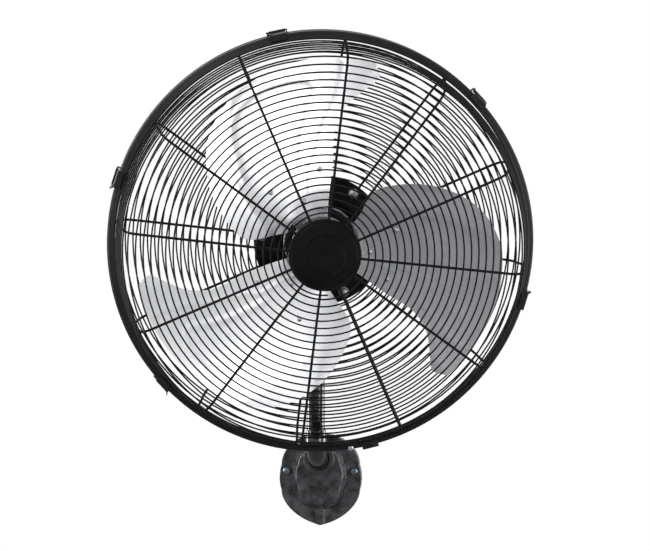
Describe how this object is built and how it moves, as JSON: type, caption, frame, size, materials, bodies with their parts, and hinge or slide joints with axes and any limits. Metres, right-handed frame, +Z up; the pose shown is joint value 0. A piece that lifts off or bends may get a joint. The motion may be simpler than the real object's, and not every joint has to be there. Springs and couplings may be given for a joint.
{
  "type": "wall mounted fan",
  "caption": "Wall mounted air circulator: round wire guard with stamped metal propeller blades, motor behind, carried by a bent tube arm on a cast wall plate, with pan and tilt.",
  "frame": {"origin": "on the wall plane, where the centre line of the arm's socket meets the solid back of the wall plate", "axes": "+X to the right as seen by someone facing the fan, +Y into the wall, +Z up; the fan blows towards -Y"},
  "size_m": [0.5612, 0.3113, 0.6835],
  "materials": {
    "cast_black": "coarse black powder coat over a casting",
    "tube_black": "gloss black enamel on steel tube",
    "wire_black": "black coated steel wire",
    "band_black": "semi gloss black enamel on rolled sheet",
    "motor_black": "satin black enamel on cast shells",
    "cap_black": "smooth black moulding",
    "knob_black": "matt black moulding",
    "blade_aluminium": "satin rolled aluminium",
    "zinc": "bright zinc plate",
    "steel": "bare machined steel",
    "copper": "enamelled copper windings",
    "lamination": "stacked steel laminations",
    "grey_plastic": "grey moulded case"
  },
  "bodies": {
    "bracket": {"wall_plate": "cast_black", "plate_screw_left": "zinc", "plate_screw_right": "zinc", "arm_elbow": "tube_black", "arm_post": "tube_black"},
    "swivel": {"swivel_neck": "cast_black", "tilt_bolt": "zinc", "tilt_washer_left": "zinc", "tilt_washer_right": "zinc", "pan_screw": "zinc"},
    "tilt_hand_knob": {"tilt_knob": "knob_black"},
    "pan_hand_knob": {"pan_knob": "knob_black"},
    "head": {"motor_bell": "motor_black", "motor_rear_cover": "motor_black", "tilt_lug": "cast_black", "stator_core": "lamination", "winding_front": "copper", "winding_rear": "copper", "front_bearing": "steel", "rear_bearing": "steel", "run_capacitor": "grey_plastic", "speed_switch": "grey_plastic", "cable_gland": "knob_black", "motor_bolt_1": "zinc", "motor_bolt_2": "zinc", "motor_bolt_3": "zinc", "rear_guard_frame": "wire_black", "rear_guard_spiral": "wire_black", "front_guard_frame": "wire_black", "front_guard_spiral": "wire_black", "front_medallion": "cap_black", "rim_band": "band_black", "safety_clip": "band_black", "clip_screw": "zinc"},
    "rotor": {"motor_shaft": "steel", "rotor_core": "lamination", "blade_hub": "steel", "blade_spider": "steel", "blade_1": "blade_aluminium", "blade_2": "blade_aluminium", "blade_3": "blade_aluminium", "hub_washer": "zinc", "hub_nut": "zinc"},
    "speed_dial": {"speed_knob": "knob_black"},
    "clip_1": {"guard_clip_1": "band_black"},
    "clip_2": {"guard_clip_2": "band_black"},
    "clip_3": {"guard_clip_3": "band_black"},
    "clip_4": {"guard_clip_4": "band_black"},
    "clip_5": {"guard_clip_5": "band_black"}
  },
  "joints": [
    {"name": "pan", "type": "hinge", "parent": "bracket", "child": "swivel", "pos_m": [0, -0.072, 0.172], "axis": [0, 0, 1], "range_deg": [-29.2, 10.8]},
    {"name": "tilt", "type": "hinge", "parent": "swivel", "child": "head", "pos_m": [0, -0.072, 0.2312], "axis": [0.9871, 0.1599, 0], "range_deg": [-21.7, 6.3]},
    {"name": "rotor_spin", "type": "hinge", "parent": "head", "child": "rotor", "pos_m": [0.01723, -0.1784, 0.30442], "axis": [0.1584, -0.9782, -0.134], "continuous": true},
    {"name": "speed_knob_turn", "type": "hinge", "parent": "head", "child": "speed_dial", "pos_m": [-0.0037, -0.04913, 0.28378], "axis": [-0.1584, 0.9782, 0.134], "range_deg": [0, 135]},
    {"name": "tilt_knob_turn", "type": "hinge", "parent": "swivel", "child": "tilt_hand_knob", "pos_m": [0, -0.072, 0.2312], "axis": [0.9871, 0.1599, 0], "range_deg": [0, 270]},
    {"name": "pan_knob_turn", "type": "hinge", "parent": "swivel", "child": "pan_hand_knob", "pos_m": [0, -0.072, 0.172], "axis": [-0.1599, 0.9871, 0], "range_deg": [0, 270]},
    {"name": "clip_1_open", "type": "hinge", "parent": "head", "child": "clip_1", "pos_m": [-0.03778, -0.21016, 0.58327], "axis": [-0.97, -0.1289, -0.206], "range_deg": [0, 60]},
    {"name": "clip_2_open", "type": "hinge", "parent": "head", "child": "clip_2", "pos_m": [0.22522, -0.15609, 0.49945], "axis": [-0.6576, -0.2058, 0.7248], "range_deg": [0, 60]},
    {"name": "clip_3_open", "type": "hinge", "parent": "head", "child": "clip_3", "pos_m": [0.28417, -0.10942, 0.22842], "axis": [0.2927, -0.0831, 0.9526], "range_deg": [0, 60]},
    {"name": "clip_4_open", "type": "hinge", "parent": "head", "child": "clip_4", "pos_m": [-0.19875, -0.17238, 0.11705], "axis": [0.6446, 0.2053, -0.7364], "range_deg": [0, 60]},
    {"name": "clip_5_open", "type": "hinge", "parent": "head", "child": "clip_5", "pos_m": [-0.25138, -0.21882, 0.39389], "axis": [-0.3254, 0.0764, -0.9425], "range_deg": [0, 60]}
  ]
}
